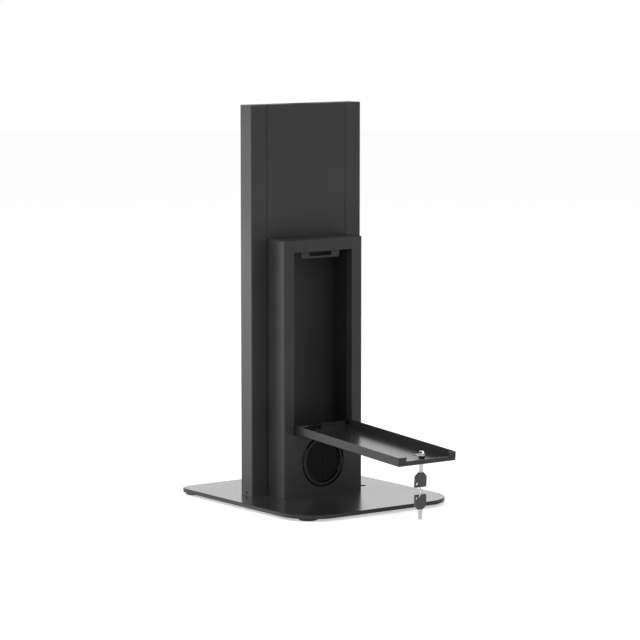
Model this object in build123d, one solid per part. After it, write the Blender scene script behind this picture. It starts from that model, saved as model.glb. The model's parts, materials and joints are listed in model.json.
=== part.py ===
"""Floor stand for a tablet kiosk: base plate, folded column, lockable storage box and its door.

Millimetres, Z up. The origin is on the floor, under the middle of the base plate. The box and its
door face +Y, and the person who uses the tablet stands on the -Y side. The door lies open.
"""
import os
from math import cos, pi, radians, sin, sqrt

from build123d import *

os.makedirs("parts", exist_ok=True)

# Clearances shared by all pieces
overrun = 5.0  # how far a cutting tool passes the face that it cuts
slide_gap = 0.25  # sheet beside sheet, put together by hand
thread_gap = 0.05  # a screw in its tapped hole, on the radius
hole_gap = 0.25  # a screw or rivet in its drilled hole, on the radius
turning_gap = 0.12  # a pin that turns in its hole, on the radius
same_place = 0.01  # two edges this close are taken to be at one place

# Base plate
base_width = 400.0
base_depth = 454.0
base_thickness = 8.0
base_box_corner = 77.0  # corner radius under the box and door
base_user_corner = 32.0
base_edge_break = 1.0

# Rubber feet and their screws
foot_diameter = 40.0
foot_height = 6.0
foot_rim = 2.0
foot_box_inset = 44.0
foot_user_inset = 28.0
foot_recess_diameter = 13.0
foot_recess_depth = 3.5
foot_screw_diameter = 5.0
foot_screw_head = 10.0
foot_screw_head_height = 2.4
foot_screw_bite = 5.0

# Floor anchor holes
anchor_hole = 9.0
anchor_countersink = 16.0
anchor_spacing = 250.0
anchor_ahead = 29.0  # in front of the column's wide face

# Column, one folded sheet with a channel down its box side
column_width = 280.0
column_depth = 40.5
column_height = 811.0
column_setback = 36.5  # wide face behind the middle of the base plate
column_sheet = 2.0
column_bend = 0.6
channel_mouth = 200.5
channel_lip_gap = 1.0  # free edge of each channel wall to the far face

# Foot plate inside the column, its bolts and the column's side screws
foot_plate_height = 10.0
base_bolt_diameter = 8.0
base_bolt_head = 15.0
base_bolt_bite = 8.0
base_bolt_shares = (-0.4, -0.14, 0.14, 0.4)  # of the foot plate's length
side_hole = 5.4
side_screw_diameter = 4.4
side_screw_length = 8.0
side_screw_recess = 0.8
side_screw_socket = 2.5  # across flats
side_screw_socket_depth = 2.0

# Head plate, set into the top of the column
head_plate_thickness = 5.0
head_bolt_hole = 6.6
head_bolt_spacing_x = 180.0
head_bolt_spacing_y = 18.0
cable_slot_length = 64.0
cable_slot_width = 22.0

# Rear cover of the channel
cover_sheet = 1.5
cover_flange = 14.0

# Storage box
box_depth = 59.2
box_height = 535.6
box_sheet = 2.0
box_bend = 1.2
box_tongue = 14.0  # how far the box reaches into the channel, where it is spot welded
opening_width = 148.0
opening_header = 26.6  # above the opening, to the box's top
opening_sill = 132.0
side_lip = 20.0
top_lip = 10.8
sill_lip = 3.5
lip_bend = 1.95
corner_relief = 2.6
floor_flange = 15.0
floor_screw_diameter = 5.0
floor_screw_head = 10.0
floor_screw_spacing = 150.0
floor_nut_width = 8.0
floor_nut_height = 4.0

# Keeper behind the top lip
keeper_width = 97.5
keeper_drop = 14.8
keeper_sheet = 2.0
keeper_corner = 4.5
keeper_slot_width = 57.0
keeper_slot_height = 8.4
keeper_rim = 4.1
keeper_rivet_diameter = 4.0
keeper_rivet_head = 6.5
keeper_rivet_head_height = 1.4
keeper_rivet_spacing = 70.0

# Cable grommet
grommet_height = 68.8  # its middle above the base plate
grommet_diameter = 108.0
grommet_bead = 4.5
grommet_proud = 2.6
grommet_inner_bead = 3.0
grommet_barrel = 91.0
grommet_barrel_wall = 2.5
grommet_barrel_depth = 9.0
flap_thickness = 2.0
flap_recess = 0.4
flap_dish = 3.2
flap_flat_diameter = 76.0
flap_slit = 0.8

# Door, a folded tray on two pins
door_width = 145.0
door_top_gap = 3.3  # above the free end when the door is shut
door_tail = 10.0  # pin to hinge end
door_sheet = 1.5
door_tail_bend = 4.0  # outside radius of the hinge end, to swing clear of the sill
door_flange = 18.3
door_tab_width = 19.1
door_middle_lip = 9.9
door_tail_lip = 12.5
door_flange_round = 7.5
door_corner_round = 2.0
pin_depth = 11.1  # pin behind the door's outer face
door_droop = 3.6  # degrees below level when it lies open
door_rest_gap = 0.1

# Fixed pivot
pivot_diameter = 5.0
pivot_length = 4.6  # past the outside of the flange
pivot_head = 9.0
pivot_head_height = 1.6
pivot_collar = 8.0
pivot_collar_height = 1.2

# Sliding hinge pin, its spring and bracket
pin_diameter = 4.6
pin_past_flange = 4.6
pin_tip_break = 0.8
knob_diameter = 8.8
knob_length = 8.0
knob_round = 1.6
knob_from_middle = 30.0  # its outer end, from the middle of the door
tail_diameter = 3.2
tail_length = 26.0  # past the knob
ear_from_middle = 0.0
ear_sheet = 1.5
ear_width = 12.0
ear_height = 14.6  # above the door's outer face
ear_foot = 18.0
spring_wire = 0.9
spring_diameter = 6.6
spring_turns = 8

# Cam lock
lock_from_end = 20.1
lock_flange = 18.0
lock_flange_height = 2.4
lock_barrel = 14.0
lock_barrel_flats = 12.6
lock_barrel_length = 13.6
lock_nut_width = 17.0
lock_nut_height = 3.6
plug_diameter = 11.0
plug_face = 3.0  # outside the door's face
plug_length = 16.9
spigot_width = 6.4
spigot_length = 1.8
cam_thickness = 2.0
cam_reach = 16.0
cam_width = 12.0
cam_hub = 14.5
cam_screw_diameter = 4.0
cam_screw_bite = 3.0
cam_screw_flange = 11.0
cam_screw_flange_height = 1.2
cam_screw_head = 8.8
cam_screw_head_height = 4.8
keyway_gap = 0.25

# Keys and ring
key_thickness = 2.2
blade_width = 9.0
blade_length = 15.0
blade_tip = 2.0
neck_width = 11.0
neck_length = 5.6
tang_length = 12.0
key_inserted = 2.2
groove_width = 1.6
groove_depth = 0.6
groove_offset_share = 0.08  # of the blade's width
head_width = 29.0
head_length = 30.4
head_thickness = 4.6
head_top_width = 12.6
head_shoulder = 8.2
head_round = 3.0
head_edge_break = 0.8
ring_hole = 5.5
ring_hole_rim = 1.6
ring_band = 4.0  # between the hole and the head's end
ring_hole_side = 8.5
ring_diameter = 27.0
ring_thickness = 1.5
ring_width = 2.4
ring_round = 0.6
ring_gap = 0.6  # ring to the edge that it hangs from

# Places that several pieces share
base_top = foot_height + base_thickness
column_top = base_top + column_height
wide_face = -column_setback
user_face = wide_face - column_depth
column_middle = (wide_face + user_face) / 2
inner_half = column_width / 2 - column_sheet
mouth_half = channel_mouth / 2
box_half = mouth_half - slide_gap
box_front = wide_face + box_depth
box_top = base_top + box_height
foot_plate_top = base_top + foot_plate_height
sill = base_top + opening_sill
opening_top = box_top - opening_header
opening_half = opening_width / 2
hinge_y = box_front - pin_depth
droop = radians(door_droop)
sill_corner_y = box_front - lip_bend
sill_corner_z = sill - lip_bend
hinge_z = (
    sill_corner_z
    + (pin_depth + door_rest_gap + lip_bend + sin(droop) * (sill_corner_y - hinge_y)) / cos(droop)
)
door_half = door_width / 2
door_reach = opening_top - hinge_z - door_top_gap  # pin to free end
lock_reach = door_reach - lock_from_end
spring_length = knob_from_middle - knob_length - ear_from_middle - ear_sheet / 2


def block(x, y, z):
    """A box between a low and a high limit on each axis."""
    sizes = [high - low for low, high in (x, y, z)]
    return Pos(x[0], y[0], z[0]) * Box(*sizes, align=(Align.MIN, Align.MIN, Align.MIN))


def bar(radius, start, end, top_radius=None):
    """A round bar, or a cone, along Z, X or Y between two points."""
    start, end = Vector(*start), Vector(*end)
    length = (end - start).length
    plane = Plane(origin=start, z_dir=(end - start).normalized())
    foot = (Align.CENTER, Align.CENTER, Align.MIN)
    if top_radius is None:
        return plane * Cylinder(radius, length, align=foot)
    return plane * Cone(radius, top_radius, length, align=foot)


def folded_section(points, thickness, bend):
    """Face of one bent sheet. The points follow its outer skin, and every bend turns right."""
    path = [Vector(*point) for point in points]
    headings = [(after - before).normalized() for before, after in zip(path, path[1:])]
    inward = [Vector(heading.Y, -heading.X) for heading in headings]
    inner = [path[0] + inward[0] * thickness]
    for corner, before, after in zip(path[1:-1], inward, inward[1:]):
        inner.append(corner + (before + after) * (thickness / (1 + before.dot(after))))
    inner.append(path[-1] + inward[-1] * thickness)
    skin = FilletPolyline(*path, radius=bend + thickness)
    back = FilletPolyline(*inner, radius=bend)
    ends = [Line(path[0], inner[0]), Line(path[-1], inner[-1])]
    return make_face([*skin.edges(), *back.edges(), *(end.edge() for end in ends)])


def rounded_outline(points, radii):
    """Face inside a closed line of points, each corner with its own radius."""
    return make_face(FilletPolyline(*points, radius=radii, close=True).edges())


def hexagon_bar(width, z_low, z_high):
    """A hexagonal bar on the Z axis, by its width across flats."""
    face = RegularPolygon(width / 2, side_count=6, major_radius=False)
    return extrude(Pos(0, 0, z_low) * face, amount=z_high - z_low, dir=(0, 0, 1))


def countersunk_screw(x, y, z_head, z_tip, diameter, head):
    """A flush screw put in from below, with its socket."""
    head_height = (head - diameter) / 2
    screw = bar(diameter / 2, (x, y, z_head), (x, y, z_tip))
    screw += bar(head / 2, (x, y, z_head), (x, y, z_head + head_height), diameter / 2)
    socket = Pos(x, y, 0) * hexagon_bar(diameter / 2, z_head, z_head + head_height)
    return screw - socket


def countersunk_hole(x, y, z_face, z_far, diameter, head, gap):
    """The cut for a flush screw: its countersink opens at z_face."""
    way = 1 if z_far > z_face else -1
    depth = (head - diameter) / 2
    start = z_face - way * gap
    cut = bar(diameter / 2 + gap, (x, y, start), (x, y, z_far))
    cone = bar(head / 2 + gap, (x, y, z_face), (x, y, z_face + way * depth), diameter / 2 + gap)
    return cut + cone


# Base

def foot_places():
    """Name and place of each foot, on the floor."""
    places = []
    for side, x_way in (("left", 1), ("right", -1)):
        for end, inset, y_way in (("box", foot_box_inset, 1), ("user", foot_user_inset, -1)):
            x = x_way * (base_width / 2 - inset)
            y = y_way * (base_depth / 2 - inset)
            places.append((f"foot_{end}_{side}", x, y))
    return places


def anchor_places():
    y = wide_face + anchor_ahead
    return [(way * anchor_spacing / 2, y) for way in (-1, 1)]


def base_bolt_places():
    return [(share * 2 * (inner_half - slide_gap), column_middle) for share in base_bolt_shares]


def floor_screw_places():
    y = box_front - box_sheet - floor_flange / 2
    return [(way * floor_screw_spacing / 2, y) for way in (-1, 1)]


def base_plate():
    half_x, half_y = base_width / 2, base_depth / 2
    corners = [(-half_x, -half_y), (half_x, -half_y), (half_x, half_y), (-half_x, half_y)]
    radii = [base_user_corner, base_user_corner, base_box_corner, base_box_corner]
    plate = extrude(rounded_outline(corners, radii), amount=base_thickness, dir=(0, 0, 1))
    plate = Pos(0, 0, foot_height) * plate
    plate = chamfer(plate.faces().sort_by(Axis.Z)[-1].edges(), base_edge_break)
    for x, y in anchor_places():
        plate -= countersunk_hole(x, y, base_top, -overrun, anchor_hole, anchor_countersink, 0)
    for x, y in base_bolt_places():
        plate -= countersunk_hole(
            x, y, foot_height, base_top + overrun, base_bolt_diameter, base_bolt_head, hole_gap
        )
    for x, y in floor_screw_places():
        plate -= countersunk_hole(
            x, y, foot_height, base_top + overrun, floor_screw_diameter, floor_screw_head, hole_gap
        )
    for _, x, y in foot_places():
        tip = foot_height + foot_screw_bite + hole_gap
        plate -= bar(foot_screw_diameter / 2 + thread_gap, (x, y, 0), (x, y, tip))
    return plate


def foot(x, y):
    """A turned rubber pad, rounded at its lower rim, with a well for its screw."""
    radius = foot_diameter / 2
    pad = bar(radius, (x, y, 0), (x, y, foot_height))
    pad = fillet(pad.edges().sort_by(Axis.Z)[0], foot_rim)
    pad -= bar(foot_recess_diameter / 2, (x, y, -overrun), (x, y, foot_recess_depth))
    pad -= bar(foot_screw_diameter / 2 + hole_gap, (x, y, 0), (x, y, foot_height + overrun))
    return pad


def foot_screw(x, y):
    head_z = foot_recess_depth - foot_screw_head_height
    tip_z = foot_height + foot_screw_bite
    screw = bar(foot_screw_diameter / 2, (x, y, foot_recess_depth), (x, y, tip_z))
    screw += bar(foot_screw_head / 2, (x, y, head_z), (x, y, foot_recess_depth))
    socket = hexagon_bar(foot_screw_diameter / 2, head_z - overrun, head_z + foot_screw_head_height / 2)
    return screw - Pos(x, y, 0) * socket


# Column

def column_shell():
    """One sheet: user face, two sides, two returns, and the two walls of the channel."""
    half = column_width / 2
    lip_end = user_face + column_sheet + channel_lip_gap
    outline = [
        (mouth_half, lip_end), (mouth_half, wide_face), (half, wide_face), (half, user_face),
        (-half, user_face), (-half, wide_face), (-mouth_half, wide_face), (-mouth_half, lip_end),
    ]
    section = folded_section(outline, column_sheet, column_bend)
    shell = extrude(Pos(0, 0, base_top) * section, amount=column_height, dir=(0, 0, 1))
    inside_y = (user_face + column_sheet, wide_face - column_sheet)
    clear_x = mouth_half + column_sheet + column_bend
    # The channel walls stop short of the foot plate and under the head plate
    shell -= block((-clear_x, clear_x), inside_y, (base_top - overrun, foot_plate_top + slide_gap))
    head_seat = column_top - head_plate_thickness
    shell -= block((-clear_x, clear_x), inside_y, (head_seat, column_top + overrun))
    z = base_top + foot_plate_height / 2
    for way in (-1, 1):
        start = (way * (half - column_sheet - column_bend), column_middle, z)
        shell -= bar(side_hole / 2, start, (way * (half + overrun), column_middle, z))
    return shell


def inside_plate(z_low, z_high):
    """A plate that fills the column from side to side, with room to slide in."""
    half = inner_half - slide_gap
    y = (user_face + column_sheet + slide_gap, wide_face - column_sheet - slide_gap)
    plate = block((-half, half), y, (z_low, z_high))
    return fillet(plate.edges().filter_by(Axis.Z), column_bend)


def foot_plate():
    """Thick plate on the base that the column drops over."""
    plate = inside_plate(base_top, foot_plate_top)
    for x, y in base_bolt_places():
        tip = base_top + base_bolt_bite + hole_gap
        plate -= bar(base_bolt_diameter / 2 + thread_gap, (x, y, base_top - overrun), (x, y, tip))
    z = base_top + foot_plate_height / 2
    for way in (-1, 1):
        end = (way * (inner_half - side_screw_length), column_middle, z)
        start = (way * (inner_half + overrun), column_middle, z)
        plate -= bar(side_screw_diameter / 2 + thread_gap, start, end)
    return plate


def side_screw(way):
    """Set screw through the column's side into the end of the foot plate."""
    z = base_top + foot_plate_height / 2
    outer = column_width / 2 - side_screw_recess
    screw = bar(side_screw_diameter / 2, (-outer, 0, 0), (-outer + side_screw_length, 0, 0))
    socket = Rot(0, 90, 0) * hexagon_bar(side_screw_socket, 0, side_screw_socket_depth + overrun)
    screw -= Pos(-outer - overrun, 0, 0) * socket
    return Pos(0, column_middle, z) * Rot(0, 0, 0 if way < 0 else 180) * screw


def head_plate():
    """Plate in the column's top: four bolt holes and a slot for the tablet's cable."""
    plate = inside_plate(column_top - head_plate_thickness, column_top)
    low, high = column_top - head_plate_thickness - overrun, column_top + overrun
    for x in (-head_bolt_spacing_x / 2, head_bolt_spacing_x / 2):
        for y in (-head_bolt_spacing_y / 2, head_bolt_spacing_y / 2):
            place = (x, column_middle + y)
            plate -= bar(head_bolt_hole / 2, (*place, low), (*place, high))
    slot = SlotOverall(cable_slot_length, cable_slot_width)
    return plate - extrude(Pos(0, column_middle, low) * slot, amount=high - low, dir=(0, 0, 1))


def rear_cover():
    """Shallow channel that closes the column above the box."""
    edge = wide_face - cover_flange
    outline = [(-box_half, edge), (-box_half, wide_face), (box_half, wide_face), (box_half, edge)]
    section = folded_section(outline, cover_sheet, column_bend)
    low = box_top + slide_gap
    cover = extrude(Pos(0, 0, low) * section, amount=column_top - low, dir=(0, 0, 1))
    notch_y = (edge - overrun, wide_face - column_sheet)
    notch_z = (column_top - head_plate_thickness - slide_gap, column_top + overrun)
    return cover - block((-column_width, column_width), notch_y, notch_z)


# Storage box

def box_shell():
    """Front, sides and top in one folded sheet, open to the column and round the door."""
    back = wide_face - box_tongue
    outer = block((-box_half, box_half), (back, box_front), (base_top, box_top))
    front_edges = outer.faces().sort_by(Axis.Y)[-1].edges().filter_by(Axis.Z)
    top_edges = outer.faces().sort_by(Axis.Z)[-1].edges()
    top_edges = [edge for edge in top_edges if edge.center().Y > back + box_tongue / 2]
    outer = fillet([*front_edges, *top_edges], box_bend + box_sheet)
    inner_half_x = box_half - box_sheet
    inner = block(
        (-inner_half_x, inner_half_x), (back, box_front - box_sheet), (base_top, box_top - box_sheet)
    )
    front_edges = inner.faces().sort_by(Axis.Y)[-1].edges().filter_by(Axis.Z)
    top_edges = inner.faces().sort_by(Axis.Z)[-1].edges()
    top_edges = [edge for edge in top_edges if edge.center().Y > back + box_tongue / 2]
    inner = fillet([*front_edges, *top_edges], box_bend)
    wide = box_half + overrun
    shell = outer - inner
    # Room for the foot plate, and for the rear cover's lower edge over the top
    room_z = (base_top - overrun, foot_plate_top + box_sheet)
    shell -= block((-wide, wide), (back - overrun, wide_face), room_z)
    shell += opening_frame()
    shell -= opening_cut()
    return finish_opening(shell) + floor_lip() - box_holes()


def opening_frame():
    """The lips that the front sheet turns in all round the opening."""
    half = opening_half + box_sheet
    inside = box_front - box_sheet / 2
    sides = block((-half, half), (box_front - side_lip, inside), (sill - box_sheet, opening_top + box_sheet))
    hollow = block((-opening_half, opening_half), (wide_face, box_front), (wide_face, column_top))
    frame = sides - hollow
    top = block(
        (-opening_half, opening_half), (box_front - top_lip, inside), (opening_top, opening_top + box_sheet)
    )
    lower = block((-opening_half, opening_half), (box_front - sill_lip, inside), (sill - box_sheet, sill))
    return frame + top + lower


def opening_cut():
    """The opening itself, with a relief in each lower corner, where the sill turns in."""
    through = (wide_face, box_front + overrun)
    cut = block((-opening_half, opening_half), through, (sill, opening_top))
    for x in (-opening_half, opening_half):
        reach = corner_relief
        cut += block((x - reach, x + reach), through, (sill - reach, sill + reach))
    return cut


def finish_opening(shell):
    """Round the folded front edge of each lip."""
    edges = []
    for edge in shell.edges():
        centre = edge.center()
        if abs(centre.Y - box_front) > same_place:
            continue
        beside = abs(abs(centre.X) - opening_half) < same_place
        level = min(abs(centre.Z - sill), abs(centre.Z - opening_top)) < same_place
        if beside != level and sill - same_place < centre.Z < opening_top + same_place:
            edges.append(edge)
    return fillet(edges, lip_bend)


def floor_lip():
    """The front sheet's lower edge turns in and lies on the base plate."""
    half = box_half - box_sheet - slide_gap
    y = (box_front - box_sheet - floor_flange, box_front - box_sheet / 2)
    return block((-half, half), y, (base_top, base_top + box_sheet))


def box_holes():
    """Holes for the grommet, the hinge pins, the floor screws and the keeper's rivets."""
    centre_z = base_top + grommet_height
    holes = bar(
        grommet_barrel / 2 + hole_gap, (0, box_front - side_lip, centre_z), (0, box_front + overrun, centre_z)
    )
    inner, outer = opening_half - overrun, opening_half + box_sheet + overrun
    for way, diameter in ((1, pin_diameter), (-1, pivot_diameter)):
        start, end = (way * inner, hinge_y, hinge_z), (way * outer, hinge_y, hinge_z)
        holes += bar(diameter / 2 + turning_gap, start, end)
    for x, y in floor_screw_places():
        low, high = base_top - overrun, base_top + box_sheet + overrun
        holes += bar(floor_screw_diameter / 2 + hole_gap, (x, y, low), (x, y, high))
    for way in (-1, 1):
        x, y = way * keeper_rivet_spacing / 2, keeper_rivet_y()
        low, high = opening_top - overrun, opening_top + box_sheet + overrun
        holes += bar(keeper_rivet_diameter / 2 + hole_gap, (x, y, low), (x, y, high))
    return holes


def floor_nut(x, y):
    low = base_top + box_sheet
    nut = hexagon_bar(floor_nut_width, low, low + floor_nut_height)
    nut -= bar(floor_screw_diameter / 2 + thread_gap, (0, 0, low - overrun), (0, 0, low + overrun))
    return Pos(x, y, 0) * nut


# Keeper

def keeper_rivet_y():
    return box_front - box_sheet - (top_lip - box_sheet) / 2


def keeper():
    """Angle behind the top lip: its slotted plate hangs down where the cam hooks in."""
    face = box_front - top_lip - slide_gap
    half = keeper_width / 2
    plate_low = opening_top - keeper_drop
    leg_low = opening_top + box_sheet
    leg_top = leg_low + keeper_sheet
    plate = block((-half, half), (face - keeper_sheet, face), (plate_low, leg_top))
    across = plate.edges().filter_by(Axis.Y).sort_by(Axis.Z)[:2]
    plate = fillet(across, keeper_corner)
    leg = block((-half, half), (face - keeper_sheet, box_front - box_sheet - slide_gap), (leg_low, leg_top))
    angle = plate + leg
    outer_edge = [
        edge for edge in angle.edges().filter_by(Axis.X)
        if abs(edge.center().Z - leg_top) < same_place and edge.center().Y < face - keeper_sheet / 2
    ]
    angle = fillet(outer_edge, keeper_sheet - slide_gap)
    slot_half = keeper_slot_width / 2
    slot = block(
        (-slot_half, slot_half), (face - keeper_sheet - overrun, face + overrun),
        (plate_low + keeper_rim, plate_low + keeper_rim + keeper_slot_height),
    )
    slot = fillet(slot.edges().filter_by(Axis.Y), keeper_sheet / 2)
    angle -= slot
    for way in (-1, 1):
        place = (way * keeper_rivet_spacing / 2, keeper_rivet_y())
        low, high = leg_low - overrun, leg_top + overrun
        angle -= bar(keeper_rivet_diameter / 2 + hole_gap, (*place, low), (*place, high))
    return angle


def keeper_rivet(way):
    place = (way * keeper_rivet_spacing / 2, keeper_rivet_y())
    top = opening_top + box_sheet + keeper_sheet
    rivet = bar(keeper_rivet_diameter / 2, (*place, opening_top), (*place, top))
    head = bar(keeper_rivet_head / 2, (*place, top), (*place, top + keeper_rivet_head_height))
    head = fillet(head.edges().sort_by(Axis.Z)[-1], keeper_rivet_head_height / 2)
    return rivet + head


# Grommet

def grommet_ring():
    """Turned ring: a round outer bead, a valley, an inner bead and a barrel through the sheet."""
    rim = grommet_diameter / 2
    valley = rim - grommet_bead
    inner_bead = valley - grommet_inner_bead
    bore = grommet_barrel / 2 - grommet_barrel_wall
    bead_half = grommet_bead / 2
    # Radius along X and height above the box front along Y, turned about the Y axis
    outline = [
        Line((rim, 0), (rim, grommet_proud - bead_half)),
        ThreePointArc(
            (rim, grommet_proud - bead_half), (rim - bead_half, grommet_proud),
            (valley, grommet_proud - bead_half),
        ),
        Line((valley, grommet_proud - bead_half), (inner_bead, grommet_proud - bead_half)),
        Line((inner_bead, grommet_proud - bead_half), (bore, -flap_recess)),
        Line((bore, -flap_recess), (bore, -grommet_barrel_depth)),
        Line((bore, -grommet_barrel_depth), (grommet_barrel / 2, -grommet_barrel_depth)),
        Line((grommet_barrel / 2, -grommet_barrel_depth), (grommet_barrel / 2, 0)),
        Line((grommet_barrel / 2, 0), (rim, 0)),
    ]
    ring = revolve(make_face([line.edge() for line in outline]), Axis.Y)
    return Pos(0, box_front, base_top + grommet_height) * ring


def grommet_flap(way):
    """Half of the dished rubber diaphragm. The two halves meet at an upright slit."""
    edge = grommet_barrel / 2 - grommet_barrel_wall
    flat = flap_flat_diameter / 2
    top, low = -flap_recess, -flap_recess - flap_dish
    points = [
        (0, low), (flat, low), (edge, top), (edge, top - flap_thickness),
        (flat, low - flap_thickness), (0, low - flap_thickness),
    ]
    disc = revolve(make_face(Polyline(*points, close=True).edges()), Axis.Y)
    inner, outer = flap_slit / 2, grommet_diameter
    x = (inner, outer) if way > 0 else (-outer, -inner)
    half = disc & block(x, (-outer, outer), (-outer, outer))
    return Pos(0, box_front, base_top + grommet_height) * half


# Door. Its own frame has the pin axis as X, the free end towards +Y and its inside towards +Z.

door_face = -pin_depth


def place_door(shape):
    """Move a piece from the door's own frame to the open door."""
    return Pos(0, hinge_y, hinge_z) * Rot(-door_droop, 0, 0) * shape


def door_panel():
    """Folded tray: floor, side flanges, hinge-end lip, two corner tabs and the lip between them."""
    top = door_face + door_flange
    outer = block((-door_half, door_half), (-door_tail, door_reach), (door_face, top))
    corners = outer.edges().filter_by(Axis.Z)
    outer = fillet(corners, door_corner_round)
    floor_edges = outer.faces().sort_by(Axis.Z)[0].edges()
    outer = round_tail(fillet(floor_edges, door_sheet), -door_tail, door_face, door_tail_bend)
    inner_x = (-door_half + door_sheet, door_half - door_sheet)
    inner_end, floor = -door_tail + door_sheet, door_face + door_sheet
    inner = block(inner_x, (inner_end, door_reach - door_sheet), (floor, top))
    inner = fillet(inner.edges().filter_by(Axis.Z), door_corner_round - door_sheet)
    inner = round_tail(inner, inner_end, floor, door_tail_bend - door_sheet)
    tray = outer - inner
    low_end = (-door_tail - overrun, inner_end)
    tray -= block(inner_x, low_end, (door_face + door_tail_lip, top + overrun))
    between = door_half - door_tab_width
    free_end = (door_reach - door_corner_round, door_reach + overrun)
    tray -= block((-between, between), free_end, (door_face + door_middle_lip, top + overrun))
    tray = round_flange_ends(tray, top)
    return tray - door_holes()


def round_tail(shape, end, floor, radius):
    """Round the lower edge at the hinge end, where the end lip turns up."""
    wide = (-door_half - overrun, door_half + overrun)
    corner = block(wide, (end - overrun, end + radius), (floor - overrun, floor + radius))
    axis = [(x, end + radius, floor + radius) for x in wide]
    return shape - (corner - bar(radius, *axis))


def round_flange_ends(tray, top):
    """Round the top corner of each side flange beside the pin."""
    wide = (-door_half - overrun, door_half + overrun)
    keep = door_flange_round
    corner = block(wide, (-door_tail - overrun, -door_tail + keep), (top - keep, top + overrun))
    corner -= bar(keep, (wide[0], -door_tail + keep, top - keep), (wide[1], -door_tail + keep, top - keep))
    return tray - corner


def door_holes():
    """Holes for the two hinge pins and the flat-sided lock barrel."""
    holes = bar(pin_diameter / 2 + turning_gap, (door_half - overrun, 0, 0), (door_half + overrun, 0, 0))
    holes += bar(pivot_diameter / 2 + thread_gap, (-door_half - overrun, 0, 0), (-door_half + overrun, 0, 0))
    barrel = lock_barrel_shape(door_face - overrun, door_face + overrun, thread_gap)
    return holes + Pos(0, lock_reach, 0) * barrel


def pivot_stud():
    """Shouldered stud riveted in the right flange. It turns in the box's lip."""
    flange_in, flange_out = -door_half + door_sheet, -door_half
    tip = flange_out - pivot_length
    stud = bar(pivot_diameter / 2, (flange_in, 0, 0), (tip, 0, 0))
    head = bar(pivot_head / 2, (flange_in, 0, 0), (flange_in + pivot_head_height, 0, 0))
    head = fillet(head.edges().sort_by(Axis.X)[-1], pivot_head_height / 2)
    collar = bar(pivot_collar / 2, (flange_out, 0, 0), (flange_out - pivot_collar_height, 0, 0))
    return stud + head + collar


def hinge_pin():
    """Sliding pin: plain end through flange and lip, knob for the finger, thin tail in the spring."""
    tip = door_half + pin_past_flange
    knob_out = knob_from_middle
    knob_in = knob_out - knob_length
    pin = bar(pin_diameter / 2, (knob_in, 0, 0), (tip, 0, 0))
    pin = chamfer(pin.edges().sort_by(Axis.X)[-1], pin_tip_break)
    knob = bar(knob_diameter / 2, (knob_in, 0, 0), (knob_out, 0, 0))
    knob = fillet(knob.edges().filter_by(GeomType.CIRCLE), knob_round)
    tail = bar(tail_diameter / 2, (knob_in - tail_length, 0, 0), (knob_in, 0, 0))
    return pin + knob + tail


def pin_bracket():
    """Angle on the door's floor. Its ear guides the pin's tail and backs the spring."""
    floor = door_face + door_sheet
    left = ear_from_middle - ear_sheet / 2
    half = ear_width / 2
    top = door_face + ear_height
    outline = [(left, top), (left, floor), (left + ear_foot, floor)]
    path = [(x, z) for x, z in reversed(outline)]
    section = folded_section(path, ear_sheet, ear_sheet / 2)
    angle = extrude(Plane.XZ * section, amount=ear_width, dir=(0, 1, 0))
    angle = Pos(0, -half, 0) * angle
    return angle - bar(tail_diameter / 2 + hole_gap, (left - overrun, 0, 0), (left + overrun, 0, 0))


def spring_path(radius, length, turns):
    """A coil round X as one run of tangent arcs, four pairs to a turn."""
    pitch = length / turns

    def point(angle):
        return Vector(pitch * angle / (2 * pi), radius * cos(angle), radius * sin(angle))

    def heading(angle):
        return Vector(pitch / (2 * pi), -radius * sin(angle), radius * cos(angle)).normalized()

    arcs = []
    quarters = 4 * turns
    for quarter in range(quarters):
        first, last = quarter * pi / 2, (quarter + 1) * pi / 2
        start, end = point(first), point(last)
        leave, arrive = heading(first), heading(last)
        chord, both = end - start, leave + arrive
        bend = 2 * (1 - leave.dot(arrive))
        reach = (sqrt(chord.dot(both) ** 2 + bend * chord.dot(chord)) - chord.dot(both)) / bend
        near, far = start + leave * reach, end - arrive * reach
        middle = (near + far) / 2
        arcs.append(Edge.make_tangent_arc(start, leave, middle))
        arcs.append(Edge.make_tangent_arc(middle, (far - near).normalized(), end))
    return Wire(arcs)


def pin_spring():
    """Compression spring between the ear and the knob."""
    wire_half = spring_wire / 2
    low = ear_from_middle + ear_sheet / 2 + wire_half
    coil_length = spring_length - spring_wire
    path = spring_path((spring_diameter - spring_wire) / 2, coil_length, spring_turns)
    section = Plane(origin=path @ 0, z_dir=path % 0) * Circle(wire_half)
    gap = coil_length / spring_turns - spring_wire
    print(f"spring: gap between turns {gap:.2f} mm")
    return Pos(low, 0, 0) * sweep(section, path=path)


# Cam lock, on the door's own axis with its foot at the door's outer face

def place_lock(shape):
    return place_door(Pos(0, lock_reach, door_face) * shape)


def lock_barrel_shape(z_low, z_high, gap):
    """Round barrel with two flats."""
    radius = lock_barrel / 2 + gap
    flat = lock_barrel_flats / 2 + gap
    round_bar = bar(radius, (0, 0, z_low), (0, 0, z_high))
    return round_bar & block((-radius, radius), (-flat, flat), (z_low, z_high))


def lock_body():
    flange = bar(lock_flange / 2, (0, 0, -lock_flange_height), (0, 0, 0))
    flange = fillet(flange.edges().sort_by(Axis.Z)[0], lock_flange_height / 3)
    body = flange + lock_barrel_shape(0, lock_barrel_length, 0)
    bore = bar(plug_diameter / 2 + turning_gap, (0, 0, -plug_face), (0, 0, lock_barrel_length + overrun))
    return body - bore


def lock_nut():
    low = door_sheet
    nut = hexagon_bar(lock_nut_width, low, low + lock_nut_height)
    ring = bar(lock_nut_width / sqrt(3) - slide_gap, (0, 0, low), (0, 0, low + lock_nut_height))
    hole = bar(lock_barrel / 2 + thread_gap, (0, 0, low - overrun), (0, 0, low + lock_nut_height + overrun))
    return (nut & ring) - hole


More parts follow.
